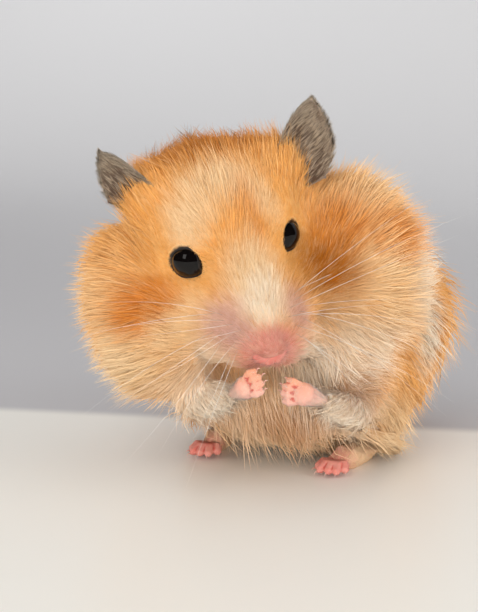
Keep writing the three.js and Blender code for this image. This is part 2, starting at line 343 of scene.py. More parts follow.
def keep(mesh, name, values):
    """Keeps a number or a place at each point of a mesh, for its material."""
    values = np.asarray(values, np.float32)
    sort, field = ("FLOAT", "value") if values.ndim == 1 else ("FLOAT_VECTOR", "vector")
    mesh.attributes.new(name, sort, "POINT").data.foreach_set(field, values.ravel())


# ---------- settings


class HamsterBody(bpy.types.PropertyGroup):
    """Sizes of the skin and of what grows on it."""

    skin_grain: FloatProperty(
        name="Skin grain", description="Spacing of the skin's points in millimetres", default=0.6, min=0.3)
    digit_grain: FloatProperty(
        name="Digit grain", description="Spacing of the points on hands and feet", default=0.24, min=0.15)
    ear_grain: FloatProperty(
        name="Ear grain", description="Spacing of the points on the ears", default=0.4, min=0.2)
    lid_width: FloatProperty(
        name="Lid width", description="How far the bare rim round an eye reaches, in degrees", default=4.5)
    whisker_length: FloatProperty(
        name="Whisker length", description="Length of the longest whisker in millimetres", default=42.0)


COLOURS = {
    "gold": ("Main colour of the coat", (0.9, 0.45, 0.13)),
    "amber": ("Deeper patches of the coat", (0.76, 0.27, 0.04)),
    "cream": ("Pale face, brow and cheek marks", (0.97, 0.74, 0.47)),
    "white": ("Chin, forearms and belly", (0.97, 0.87, 0.74)),
    # Tawny: a deep coat at the back of the crown, and painted shade in the folds under the cheeks and head.
    "tawny": ("Deep coat in the folds", (0.46, 0.15, 0.01)),
    "mauve": ("Thinly haired whisker pads", (0.7, 0.42, 0.37)),
    "pink": ("Hands, feet and nose", (0.8, 0.34, 0.28)),
    "ear": ("Skin of the ears", (0.12, 0.085, 0.06)),
    "eye": ("The eyes", (0.002, 0.0015, 0.0015)),
}


class HamsterColours(bpy.types.PropertyGroup):
    """Colours of the coat, the bare skin and the eyes."""

    __annotations__ = {
        name: FloatVectorProperty(name=name.title(), description=use, subtype="COLOR", default=colour)
        for name, (use, colour) in COLOURS.items()}


class HamsterStage(bpy.types.PropertyGroup):
    """Where the camera stands, and how strong the light is."""

    azimuth: FloatProperty(
        name="Azimuth", description="The camera's way round the hamster", subtype="ANGLE",
        default=math.radians(27))
    elevation: FloatProperty(
        name="Elevation", description="The camera's height over the floor as an angle", subtype="ANGLE",
        default=math.radians(10))
    aim: FloatVectorProperty(
        name="Aim", description="The place the camera looks at", subtype="TRANSLATION",
        default=(-0.0073, -0.00575, 0.0345))
    distance: FloatProperty(
        name="Distance", description="From the camera to the hamster's middle", unit="LENGTH", default=0.33)
    lens: FloatProperty(name="Lens", description="The camera's focal length in millimetres", default=84.0)
    light: FloatProperty(
        name="Light", description="The power that each lamp has a share of, in watts", default=1.7)


# ---------- finishes


class Value:
    """A number that changes over a surface. Arithmetic on it adds the nodes that work it out."""

    def __init__(self, finish, socket):
        self.finish, self.socket = finish, socket

    def _math(self, operation, *numbers):
        made = self.finish.node("ShaderNodeMath", {"operation": operation}, dict(enumerate(numbers)))
        return Value(self.finish, made.outputs[0])

    def __add__(self, other):
        return self._math("ADD", self, other)

    def __sub__(self, other):
        return self._math("SUBTRACT", self, other)

    def __rsub__(self, other):
        return self._math("SUBTRACT", other, self)

    def __mul__(self, other):
        return self._math("MULTIPLY", self, other)

    __radd__, __rmul__ = __add__, __mul__

    def rise(self, low, high):
        """0 at low, 1 at high, and a smooth change between."""
        made = self.finish.node(
            "ShaderNodeMapRange", {"interpolation_type": "SMOOTHSTEP"},
            {"Value": self, "From Min": low, "From Max": high})
        return Value(self.finish, made.outputs[0])


class Finish:
    """A material and the nodes it is mixed from."""

    def __init__(self, name, **sockets):
        self.material = bpy.data.materials.new(name)
        self.material.use_nodes = True
        self.tree = self.material.node_tree
        self.wear(**sockets)

    def wear(self, **sockets):
        """Gives the shader's own sockets their values or links."""
        for name, value in sockets.items():
            self.feed(self.tree.nodes["Principled BSDF"].inputs[name.replace("_", " ")], value)

    def feed(self, socket, value):
        """Gives a socket a value, or a link to the node that works it out."""
        value = value.socket if isinstance(value, Value) else value
        if isinstance(value, bpy.types.NodeSocket):
            self.tree.links.new(value, socket)
        else:
            socket.default_value = (*value, 1.0) if socket.type == "RGBA" else value

    def node(self, sort, settings=None, sockets=None):
        """Adds a node: its settings first, then what its sockets hold."""
        made = self.tree.nodes.new(sort)
        for name, value in (settings or {}).items():
            setattr(made, name, value)
        for name, value in (sockets or {}).items():
            self.feed(made.inputs[name], value)
        return made

    def attribute(self, name):
        """A number kept at each point of a mesh."""
        return Value(self, self.node("ShaderNodeAttribute", {"attribute_name": name}).outputs["Fac"])

    def root_place(self):
        """The place on the skin, in metres, that each point of a mesh grows from."""
        return self.node("ShaderNodeAttribute", {"attribute_name": "root_place"}).outputs["Vector"]

    def blend(self, share, first, second, way="MIX"):
        """Two colours mixed: the share of the second may change over the surface."""
        made = self.node(
            "ShaderNodeMix", {"data_type": "RGBA", "blend_type": way}, {0: share, 6: first, 7: second})
        return made.outputs[2]

    def patch(self, place, centre, turn, radii, soft):
        """1 inside a soft egg-shaped region, 0 outside; its radii are in millimetres."""
        inside = self.node(
            "ShaderNodeMapping", {"vector_type": "TEXTURE"},
            {"Vector": place, "Location": centre, "Rotation": turn, "Scale": [r * MM for r in radii]})
        reach = self.node("ShaderNodeVectorMath", {"operation": "LENGTH"}, {0: inside.outputs[0]})
        return Value(self, reach.outputs["Value"]).rise(1 + soft, 1 - soft)

    def grain(self, place, scale, detail=2.0):
        """Cloudy noise from 0 to 1, with a scale in features per metre."""
        made = self.node("ShaderNodeTexNoise", None, {"Vector": place, "Scale": scale, "Detail": detail})
        return Value(self, made.outputs["Fac"])


# The coat's marks on the head: how far to the hamster's left, ahead of the eyes and off the bridge of the
# nose each one lies, its three radii, its colour, how strong it is and how soft its edge is. Those noted are
# painted shade.
HEAD_MARKS = (
    ((-24, 14, -10), (13, 10, 14), "cream", 0.45, 0.6),
    ((22, 18, -6), (11, 9, 14), "cream", 0.6, 0.6),
    ((-29.6, 0, -14), (9, 9, 12), "cream", 0.45, 0.7),
    ((-26.5, 17, -14.5), (9, 8, 10), "cream", 0.85, 0.7),
    ((19, 25, -12), (9, 7, 9), "white", 0.6, 0.6),
    ((25.5, 12, -1), (4.5, 6, 8), "cream", 0.55, 0.7),
    ((29.5, -2, 2), (9, 7, 10), "cream", 0.65, 0.7),
    ((37, 12, -1), (5, 7, 9), "white", 0.75, 0.6),
    ((0, -24, -2), (20, 9, 14), "amber", 0.85, 0.6),
    ((-1, -9.5, 7), (8, 5, 6), "cream", 0.75, 0.7),
    ((0, -22, 2), (18, 6, 10), "tawny", 0.6, 0.7),
    ((37, 18, -8), (6, 9, 10), "white", 0.8, 0.6),
    # Painted shade: deeper orange down the side of the bridge of the nose beside the left eye.
    ((2.6, -1, 8), (3.0, 8, 5), "amber", 0.5, 0.6),
    ((-10, -5.7, 6.7), (5.5, 5, 6), "cream", 0.75, 0.6),
    ((6.8, -4.6, 7.8), (3.4, 4.2, 5), "cream", 0.5, 0.6),
    ((-13, 12.5, -3), (6, 5, 8), "cream", 0.5, 0.6),
    ((-20, 6.5, -4), (6.5, 5, 8), "amber", 1.0, 0.5),
    # Painted shade: the hollow between the muzzle and the left cheek pouch.
    ((15.5, 9.5, -1), (6, 7, 8), "tawny", 1.0, 0.6),
    ((20, 3, 1.5), (5, 5.5, 7), "amber", 0.85, 0.6),
    ((31, 7, 2.8), (4.5, 6, 8), "amber", 0.85, 0.6),
    ((0, 11, 4.5), (5.5, 8.5, 6), "cream", 0.9, 0.6),
    ((1, 15, 4), (4.5, 5, 6), "white", 0.7, 0.6),
    ((9, 27, -7), (9, 5.5, 8), "white", 0.85, 0.5),
    ((-8, 21.5, -7), (7, 5, 7), "white", 0.6, 0.5),
    ((-7, 15.4, 0.6), (4, 4.4, 6), "mauve", 0.85, 0.6),
    ((-4.4, 19.6, 0.6), (3, 3, 6), "mauve", 0.85, 0.6),
    ((7, 17.4, 0), (2.8, 4.6, 6), "mauve", 0.85, 0.6),
    ((0.3, 23, -0.4), (5.4, 4.2, 7), "pink", 1.0, 0.35),
)
# The marks on the body, the same way, but with their places along the model's own x, y and z; those noted are
# painted shade.
BODY_MARKS = (
    ((5, -39.8, 19), (12, 10, 9), "white", 0.9, 0.4),
    ((29, -31, 19), (11, 10, 9), "white", 0.9, 0.4),
    ((20, -24, 26), (9, 8, 9), "white", 0.6, 0.5),
    ((16, -42, 19), (15, 9, 7), "white", 0.9, 0.4),
    ((8, -22, 14), (30, 18, 15), "white", 0.6, 0.4),
    ((9, -10, 0), (30, 40, 12), "cream", 0.8, 0.4),
    # Painted shade: the belly between the forearms, under the head.
    ((13, -25, 13), (11, 8, 9), "tawny", 0.7, 0.6),
    ((32, -4, 11.5), (9, 11, 8), "cream", 0.85, 0.6),
    ((26, -19, 30), (7, 7, 6), "white", 0.5, 0.6),
    # Painted shade: the fold where the left cheek pouch hangs over the forearm.
    ((27, -22.5, 22.5), (6, 6, 4), "tawny", 0.45, 0.6),
    ((34.5, 7, 37), (8, 5.5, 14), "white", 1.0, 0.5),
)
# The colours of the short hair of the ears, and of the nose, hands and feet.
DOWN = {"ear_down": (0.56, 0.46, 0.35), "pink_down": (0.82, 0.42, 0.36), "pale_down": (0.98, 0.8, 0.7)}


def coat_colour(finish):
    """The coat's markings by the place where a tuft grows, some of them painted shade: skin and tufts share
    them.
    """
    colours, place = bpy.context.scene.hamster_colours, finish.root_place()
    cloud = finish.grain(place, 110.0, 3.0)
    colour = finish.blend(cloud.rise(0.3, 0.7), colours.gold, colours.gold * 1.12)
    marks = [(FACE.point(*at), FACE.turn, *rest) for at, *rest in HEAD_MARKS]
    marks += [(Vector(at) * MM, (0, 0, 0), *rest) for at, *rest in BODY_MARKS]
    for centre, turn, radii, tint, strength, soft in marks:
        mask = finish.patch(place, centre, turn, radii, soft) * strength
        colour = finish.blend(mask * (cloud * 0.5 + 0.75), colour, getattr(colours, tint))
    return colour


def coat_finish():
    """The tufts' material: the markings, paler or deeper from tuft to tuft, darker towards the root: partly
    the hair's own base, partly painted shade.
    """
    finish = Finish("coat", Roughness=0.65, Specular_IOR_Level=0.16, Sheen_Weight=0.08, Sheen_Roughness=0.5)
    colour = coat_colour(finish)
    along, tone = finish.attribute("along"), finish.attribute("tone")
    # Partly the hair's own darker base, partly painted shade between the tufts: dark and warm at the root, a
    # little lighter at the tip.
    shade = finish.blend(along.rise(-0.1, 0.85), (0.7, 0.56, 0.42), (1.1, 1.1, 1.1))
    paler = finish.blend(0.5, colour, bpy.context.scene.hamster_colours.cream)
    pale = finish.blend(tone.rise(0.5, 0.95) * 0.65, colour, paler)
    deep = finish.blend(tone.rise(0.5, 0.05) * 0.75, pale, (0.82, 0.62, 0.38), "MULTIPLY")
    for down, tint in DOWN.items():
        varied = finish.blend(tone, [c * 0.4 for c in tint], [c * 1.1 for c in tint])
        deep = finish.blend(finish.attribute(down), deep, varied)
    finish.wear(Base_Color=finish.blend(1.0, deep, shade, "MULTIPLY"))
    return finish.material


def skin_finish():
    """The skin's material: the coat's markings under the tufts, and the bare parts in their own colours with
    painted shade in their hollows.
    """
    colours = bpy.context.scene.hamster_colours
    finish = Finish("skin", Specular_IOR_Level=0.4, Subsurface_Weight=0.12, Subsurface_Scale=0.0012)
    here = finish.root_place()
    pores, blotch = finish.grain(here, 3600.0, 3.0), finish.grain(here, 420.0)
    bare, rim = finish.attribute("bare"), finish.attribute("rim")
    flush = [c * share for c, share in zip(colours.pink, (0.92, 0.66, 0.66))]
    flushed = finish.blend(blotch.rise(0.3, 0.75), colours.pink, flush)
    colour = finish.blend(bare, finish.blend(0.2, coat_colour(finish), (0.5, 0.36, 0.24)), flushed)
    # Partly the thin skin's own red, partly painted shade: the hollows between fingers and toes deepened to
    # dark red.
    colour = finish.blend(finish.attribute("crease_red_and_shade") * 0.85, colour, (0.56, 0.08, 0.06))
    ear = finish.blend(blotch.rise(0.35, 0.7), colours.ear, colours.ear * 1.5)
    # Painted shade: the ear's hollow near its root made darker.
    ear = finish.blend(finish.attribute("hollow") * 0.75, ear, (0.07, 0.035, 0.02))
    ear = finish.blend(finish.attribute("edge") * 0.75, ear, (0.7, 0.62, 0.54))
    colour = finish.blend(finish.attribute("ear"), colour, ear)
    # Dark red in the mouth's line and the nostrils: partly their own colour, partly painted shade of the
    # openings.
    colour = finish.blend(finish.attribute("mouth"), colour, (0.32, 0.05, 0.035))
    colour = finish.blend(rim, colour, (0.012, 0.008, 0.007))
    bump = finish.node("ShaderNodeBump", None, {"Height": pores, "Strength": 0.35, "Distance": 0.12 * MM})
    finish.wear(Base_Color=colour, Roughness=0.62 - rim * 0.3 - bare * 0.12, Normal=bump.outputs[0])
    return finish.material


def eye_finish():
    """A glossy near-black eye, faintly clouded with brown."""
    eye = bpy.context.scene.hamster_colours.eye
    finish = Finish("eye", Roughness=0.04, Specular_IOR_Level=0.3)
    here = finish.node("ShaderNodeTexCoord").outputs["Object"]
    finish.wear(Base_Color=finish.blend(finish.grain(here, 1500.0), eye, eye * 2.5))
    return finish.material


def claw_finish():
    """Pale horn, a little rosy and see-through at the root."""
    finish = Finish("claw", Specular_IOR_Level=0.5, Subsurface_Weight=0.2, Subsurface_Scale=0.0006)
    streaks = finish.grain(finish.root_place(), 5200.0)
    towards_tip = (finish.attribute("along") * 0.8 + streaks * 0.2).rise(0.2, 1.0)
    finish.wear(Base_Color=finish.blend(towards_tip, (0.8, 0.38, 0.33), (0.86, 0.6, 0.53)),
                Roughness=0.3 + streaks * 0.15)
    return finish.material


def whisker_finish():
    """Clear pale bristle, a little darker at its root."""
    finish = Finish("whisker", Roughness=0.35, Specular_IOR_Level=0.5)
    along = finish.attribute("along").rise(0.0, 0.25)
    finish.wear(Base_Color=finish.blend(along, (0.55, 0.42, 0.32), (0.95, 0.93, 0.9)))
    return finish.material


# ---------- skin


def eye_axis(side):
    """Which way an eye looks: mostly out to its side, and up off the face."""
    return FACE.way(SIDES[side] * 0.74, 0.12, 0.66)


def eye_size(side):
    """An eye's middle, in metres, and its radius, in millimetres, from its solid."""
    low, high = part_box(f"eye_{side}")
    return (low + high) / 2 - FACE.left * EYE_SHIFT[side] * MM, (high.x - low.x) / 2 / MM


def ring_axes(axis, towards):
    """Two directions square to an axis, the first as near as can be to a third direction."""
    first = (towards - axis * towards.dot(axis)).normalized()
    return first, axis.cross(first)


def eyelid(side, width):
    """The bare rim round an eye: a rounded strip on the ball, pointed at the corner near the nose."""
    centre, radius = eye_size(side)
    axis = eye_axis(side)
    front, over = ring_axes(axis, FACE.way(-SIDES[side] * 0.4, 0.9, 0.15))
    steps, half_opening, corner_width, back_width = 72, 60, 0.36, 0.5
    section = ((-4, -0.25), (-1, 0.05), (1, 0.16), (width * 0.6, 0.18), (width, 0.08), (width + 9, -0.4))
    points = []
    for i in range(steps):
        t = 2 * math.pi * i / steps
        corner = math.exp(-(min(t, 2 * math.pi - t) / corner_width) ** 2)
        opening = half_opening + 26 * corner + 3 * math.exp(-((t - math.pi) / back_width) ** 2)
        outward = front * math.cos(t) + over * math.sin(t)
        for beyond, lift in section:
            spread, reach = math.radians(opening + beyond), (radius + lift) * MM
            points.append(centre + (axis * math.cos(spread) + outward * math.sin(spread)) * reach)
    return np.array(points), woven(steps, len(section), rows_meet=True)


def lie_of_coat(skin):
    """Which way the tufts lie at each point: back from the nose on the head, down and back on the body."""
    points, normals = skin.shell.points, skin.shell.normals()
    from_nose = unit(points - NOSE_TIP)
    down = np.array([0.0, 0.0, -1.0])
    ways = np.zeros_like(points)
    for share, node in zip(skin.shares.T, FURRED):
        part = kind(node)
        if part in ("head", "muzzle", "lower_jaw"):
            way = from_nose
        elif part in ("cheek", "upper_arm"):
            way = from_nose + 0.35 * down
        elif part == "forearm":
            side = node.rsplit("_", 1)[1]
            toward = middle(f"hand_{side}") - middle(f"upper_arm_{side}")
            way = np.array(toward.normalized()) + 0.5 * down
        else:
            way = np.array([0.0, 1.0, -0.3] if part == "tail" else [0.0, 0.62, -0.78])
        ways += share[:, None] * way
    for _ in range(3):
        ways = skin.shell.averaged(laid(ways, normals), 8)
    return laid(ways, normals)


class Ground:
    """A surface that hair grows from: which way and how long it grows at each point."""

    def __init__(self, shell, lie, length, rise):
        self.shell, self.normals, self.tree = shell, shell.normals(), point_tree(shell.points)
        self.lie = laid(np.broadcast_to(lie, shell.points.shape), self.normals)
        self.length = np.broadcast_to(length, len(shell.points))
        self.rise = np.broadcast_to(rise, len(shell.points))

    def settled(self, spots, low, high):
        """Spots moved so that their height over the surface, in metres, lies between low and high."""
        near = np.array([self.tree.find(spot)[1] for spot in spots.tolist()])
        normals = self.normals[near]
        height = ((spots - self.shell.points[near]) * normals).sum(1)
        return spots + normals * (np.clip(height, low, high) - height)[:, None]


class Skin(Ground):
    """The furred skin: the solids run together and let in by the coat's depth."""

    def __init__(self):
        grain = bpy.context.scene.hamster_body.skin_grain
        parts = [swollen(node, MEET) for node in (*FURRED, "nose")]
        parts += [ball(centre, (radius - EYE_BED) * MM) for centre, radius in map(eye_size, SIDES)]
        parts += [ball(FACE.point(*at), radius * MM, 3) for at, radius in LIP_FLESH]
        self.shell = recast(parts, grain)
        self.shell.relax(8)
        solids = [welded(node) for node in FURRED]
        owners = np.repeat(np.arange(len(FURRED)), [len(faces) for _, faces in solids])
        self.nearest = owners[nearest_on(*joined(solids), self.shell.points)[0]]
        self.shares = self.shell.averaged(np.eye(len(FURRED))[self.nearest], 22)
        self.measure()
        self.shell.melt(ramp(self.share_of("upper_arm"), 0.02, 0.5), 60)
        self.shell.melt(self.face_creases(), 70)
        self.let_in()
        before = self.shell
        self.shell = recast([(before.points, before.triangles)], grain)
        self.shell.relax(4)
        under, shift = nearest_on(before.points, before.triangles, self.shell.points)
        corner = before.triangles[under, 0]
        self.nearest, self.shares = self.nearest[corner], self.shares[corner]
        self.measure()
        length = self.tuft_lengths()
        lift = self.shell.averaged(np.clip(shift / MM, 0.15, 6.0), 8)
        rise = np.arcsin(np.clip(lift / length, 0.12, 0.75))
        super().__init__(self.shell, lie_of_coat(self), length, rise)

    def measure(self):
        """Finds how far each point of the skin is from the eyes, the nose and the hands."""
        points = self.shell.points
        eyes = map(eye_size, SIDES)
        self.eye_gap = np.minimum(*(gap_to(points, centre) - radius for centre, radius in eyes))
        self.hand_gap = np.minimum(*(nearest_on(*welded(f"hand_{side}"), points)[1] / MM for side in SIDES))
        self.nose_gap = gap_to(points, middle("nose"))
        self.lips = 4 * self.share_of("muzzle") * self.share_of("lower_jaw")

    def share_of(self, part):
        """The soft share of one kind of part at each point."""
        return sum(self.shares[:, k] for k, node in enumerate(FURRED) if kind(node) == part)

    def face_creases(self):
        """1 in the hollows between the muzzle and the cheeks, and 0 elsewhere."""
        shell = self.shell
        hollow = ((shell.averaged(shell.points, 24) - shell.points) * shell.normals()).sum(1) / MM
        ahead = FACE.measured(shell.points)[:, 1]
        of_face = sum(self.share_of(part) for part in ("head", "muzzle", "lower_jaw", "cheek"))
        mask = ramp(hollow, 0.1, 0.6) * ramp(ahead, 2, 8) * ramp(of_face, 0.7, 0.95)
        return np.clip(1.6 * shell.averaged(mask * ramp(self.eye_gap, 1.5, 4), 10), 0, 1)

    def let_in(self):
        """Moves the skin in by the coat's depth, less round the eyes, and sets the mouth in."""
        depth = self.shell.averaged(np.minimum(self.shares @ DEPTHS, DEPTHS[self.nearest] + 0.4), 4)
        depth *= 0.5 + 0.5 * ramp(self.eye_gap, 0.6, 8.0)
        depth += 0.7 * ramp(self.lips, 0.5, 0.95)
        normals = unit(self.shell.averaged(self.shell.normals(), 6))
        self.shell.points = self.shell.averaged(self.shell.points - normals * depth[:, None] * MM, 3)

    def tuft_lengths(self):
        """How long tufts grow at each point, in millimetres: shortest round the eyes and the nose."""
        points = self.shell.points
        length = self.shell.averaged(self.shares @ LENGTHS, 20)
        length *= 0.2 + 0.8 * ramp(self.eye_gap, 0.5, 9.0)
        length *= 0.36 + 0.64 * ramp(self.nose_gap, 2.8, 6.5)
        length *= 0.35 + 0.65 * ramp(points[:, 2] / MM, 1.0, 9.0)
        for pad in PADS:
            length *= 0.5 + 0.5 * ramp(gap_to(points, FACE.point(*pad)), 2.0, 6.5)
        return self.shell.averaged(length, 6)


def bare_part(node, grain):
    """One bare part's own fine skin."""
    shell = recast([swollen(node, 0.02)], grain)
    shell.relax(2)
    return shell


def sunk_ear(side, grain):
    """An ear's skin, with its foot let down through the coat to the head's skin, and the marks on it."""
    shell = bare_part(f"ear_{side}", grain)
    into = np.array(middle("head")) - shell.points
    near = nearest_on(*welded("head"), shell.points)[1] / MM
    normals = shell.normals()
    sharp = ((shell.points - shell.averaged(shell.points, 6)) * normals).sum(1) / MM
    inner = ramp(((shell.points.mean(0) - shell.points) * normals).sum(1) / MM, 0.0, 1.5)
    # The hollow mark, the ear's inner face near the head, is painted shade of the ear's opening.
    marks = {"edge": ramp(shell.averaged(sharp, 2), 0.06, 0.25), "hollow": inner * ramp(near, 6.5, 1.5),
             "high": ramp(near, 0.5, 7.0)}
    left, ahead, _ = FACE.measured(shell.points).T
    slant, behind, edge = 0.48, 21.5, 1.3
    tucked = ramp(np.abs(left) - slant * (ahead + behind), EAR_TUCK[side], EAR_TUCK[side] - edge)
    sunk = 7 * np.maximum(ramp(near, 2.0, 0.4), 1.8 * tucked * ramp(near, 10.0, 6.5))
    shell.points = shell.points + unit(into) * shell.averaged(sunk, 3)[:, None] * MM
    return shell, marks


def nose_pad():
    """The nose: a rounded pad, narrower below, with two comma-shaped nostrils and a groove between them."""
    points, triangles = ball((0, 0, 0), 1.0, 5)
    across, ahead, up = points.T.copy()
    low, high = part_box("nose")
    wide = (high - low).length / math.sqrt(3) / 2 / MM
    taper = 1 - 0.22 * ramp(up, 0.2, -1.0)
    across, ahead, up = across * wide * 1.5 * taper, ahead * wide * 0.95, up * wide * 0.8
    front = ramp(ahead, 0.1, 1.6)
    comma = (np.abs(across) - 1.9 - 0.5 * (up + 0.7)) / 0.3
    nostril = np.exp(-comma ** 2 - ((up + 0.7) / 0.6) ** 2) * front
    groove = np.exp(-(across / 0.22) ** 2) * ramp(up, 0.5, -0.6) * front
    wings = np.exp(-((np.abs(across) - 1.3) / 0.9) ** 2 - ((up + 0.2) / 1.2) ** 2) * front
    ahead = ahead - 0.8 * nostril - 0.4 * groove + 0.25 * wings
    centre = np.array(middle("nose")) + (FACE.axes[1] * 0.1 - FACE.axes[2] * 1.9) * MM
    shell = Shell(np.stack([across, ahead, up], 1) * MM @ FACE.axes + centre, triangles[:, ::-1])
    return shell, np.clip(nostril * 1.2, 0, 1), up


def limb_end(limb, side, grain):
    """A hand or foot, furred towards its root: its skin, the marks on it and its two fields of hair."""
    down, amount, free, root_down, root_amount, bareness, less_bare = LIMBS[limb]
    shell = bare_part(f"{limb}_{side}", grain)
    hollow = shell.averaged(shell.averaged(shell.points, 9) - shell.points, 2)
    # How hollow the surface is, for the dark red of the folds: partly the skin's own red, partly painted
    # shade.
    crease_red_and_shade = ramp((hollow * shell.normals()).sum(1) / MM, 0.0, 0.07)
    root, tipward = np.array(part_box(f"foot_{side}")[1]), np.array([0.0, -1.0, -0.2])
    if limb == "hand":
        root = np.array(middle(f"forearm_{side}"))
        tipward = np.array(middle(f"hand_{side}") - middle(f"forearm_{side}"))
    short = Ground(shell, tipward, 0.9, 0.2)
    from_root = shell.points - root
    near = np.linalg.norm(from_root, axis=1)
    behind = ramp(near, near.min() + free * np.ptp(near), near.min() + (free - 0.35) * np.ptp(near))
    if limb == "hand":
        axis = unit(shell.points.mean(0) - root)
        off_axis = from_root - (from_root @ axis)[:, None] * axis
        shell.points = shell.points - (off_axis * 0.45 + axis * 2.4 * MM) * behind[:, None]
    long = Ground(shell, tipward, 1.0 + 1.4 * behind, 0.22)
    furred = np.flatnonzero(behind[shell.triangles[:, 0]] > 0.15)
    marks = {"bare": bareness - less_bare * behind, "crease_red_and_shade": crease_red_and_shade * (1 - behind)}
    return shell, marks, [(down, short, None, amount), (root_down, long, furred, root_amount)]


def unwrap(piece):
    """Spreads a piece's own surface flat on the map the bake uses."""
    piece.data.uv_layers.new(name="OFBake")
    bpy.context.view_layer.objects.active = piece
    piece.select_set(True)
    bpy.ops.object.mode_set(mode="EDIT")
    bpy.ops.mesh.select_all(action="SELECT")
    bpy.ops.uv.smart_project(angle_limit=math.radians(66), island_margin=0.002)
    bpy.ops.object.mode_set(mode="OBJECT")
    piece.select_set(False)


ready = {}  # what the skin's step leaves for the later ones


class HAMSTER_OT_skin(bpy.types.Operator):
    """Make one skin over all the flesh: head, trunk, limbs, ears, hands, feet, nose and lids"""

    bl_idname = "hamster.skin"
    bl_label = "Skin"

    def execute(self, context):
        body = context.scene.hamster_body
        skin = Skin()
        pad, nostrils, up = nose_pad()
        # The mouth's line and the nostrils take a dark red, partly their own colour, partly painted shade of
        # the openings.
        parts = [(skin.shell, {"mouth": ramp(skin.lips, 0.6, 1.0), "rim": ramp(skin.eye_gap, 0.75, 0.4)}),
                 (pad, {"bare": 1.0, "mouth": 0.7 * nostrils})]
        nose_hair = Ground(pad, pad.points - NOSE_TIP, 0.9 + 1.1 * ramp(up, -1.5, 2.0), 0.3)
        velvet = [("pink_down", nose_hair, None, 3000)]
        for side in SIDES:
            ear, marks = sunk_ear(side, body.ear_grain)
            tipward = np.array(middle(f"ear_{side}") - middle("head"))
            chance = np.random.default_rng(SEED + 2).uniform(0, 1, len(ear.triangles))
            haired = np.flatnonzero(0.3 + 0.7 * marks["high"][ear.triangles[:, 0]] > chance)
            velvet.append(("ear_down", Ground(ear, tipward, 3.4 - 1.5 * marks["high"], 0.14), haired, 4500))
            parts += [(ear, {"ear": 1.0, **marks}), (Shell(*eyelid(side, body.lid_width)), {"rim": 1.0})]
            for limb in LIMBS:
                shell, marks, hair = limb_end(limb, side, body.digit_grain)
                parts.append((shell, marks))
                velvet += hair
        points, triangles = joined([(shell.points, shell.triangles) for shell, _ in parts])
        points[:, 2] = np.maximum(points[:, 2], 0)
        mesh = mesh_from("skin", points, triangles)
        for name in ("bare", "ear", "mouth", "rim", "crease_red_and_shade", "hollow", "edge"):
            keep(mesh, name, np.concatenate(
                [np.broadcast_to(marks.get(name, 0.0), len(shell.points)) for shell, marks in parts]))
        keep(mesh, "root_place", points)
        unwrap(place_piece("skin", mesh, skin_finish(), FURRED + BARE))
        spread = np.empty(len(mesh.loops) * 2, np.float32)
        mesh.uv_layers["OFBake"].data.foreach_get("uv", spread)
        ends = np.cumsum([len(shell.triangles) for shell, _ in parts])
        for (shell, _), corners in zip(parts, np.split(spread.reshape(-1, 3, 2), ends)):
            shell.map_corners = corners
        ready["skin"], ready["velvet"] = skin, velvet
        return {"FINISHED"}


# ---------- coat


class Roots:
    """Places on the skin where tufts grow, with all that shapes each tuft."""

    def __init__(self, ground, triangles, count, rng):
        shell, self.ground = ground.shell, ground
        corners = shell.triangles[triangles]
        a, b, c = (shell.points[corners[:, k]] for k in range(3))
        area = np.linalg.norm(np.cross(b - a, c - a), axis=1)
        crowd = area / ground.length[corners].mean(1) ** 1.5
        pick = rng.choice(len(triangles), count, p=crowd / crowd.sum())
        self.corners, self.share = corners[pick], rng.dirichlet((1.0, 1.0, 1.0), count)
        self.places = self.at_root(shell.points)
        self.normals = unit(self.at_root(ground.normals))
        self.lie = unit(self.at_root(ground.lie))
        self.length = self.at_root(ground.length)
        self.rise = self.at_root(ground.rise)
        self.map = (shell.map_corners[triangles[pick]] * self.share[:, :, None]).sum(1)

    def at_root(self, values):
        """Values at the skin's points, worked out at each root."""
        weights = self.share if values.ndim == 1 else self.share[:, :, None]
        return (values[self.corners] * weights).sum(1)


def swirl(places, scale, seed):
    """A slow wander between -1 and 1 over the body, from a few crossed waves; scale in millimetres."""
    rng = np.random.default_rng(seed)
    total = np.zeros(len(places))
    for _ in range(5):
        way = unit(rng.normal(size=3)) / (scale * MM * rng.uniform(0.6, 1.5))
        total += np.sin(places @ way * 2 * math.pi + rng.uniform(0, 2 * math.pi))
    return total / 3.0


def gathered(tips, places, every, pull, rng):
    """Draws the tips of neighbouring tufts together into locks."""
    leaders = rng.choice(len(places), max(len(places) // every, 1), replace=False)
    tree = point_tree(places[leaders])
    lock = leaders[[tree.find(place)[1] for place in places.tolist()]]
    share = pull * rng.uniform(0.3, 1.0, len(places))
    drawn = tips[lock] + 0.35 * (places - places[lock])
    return tips + (drawn - tips) * share[:, None], lock


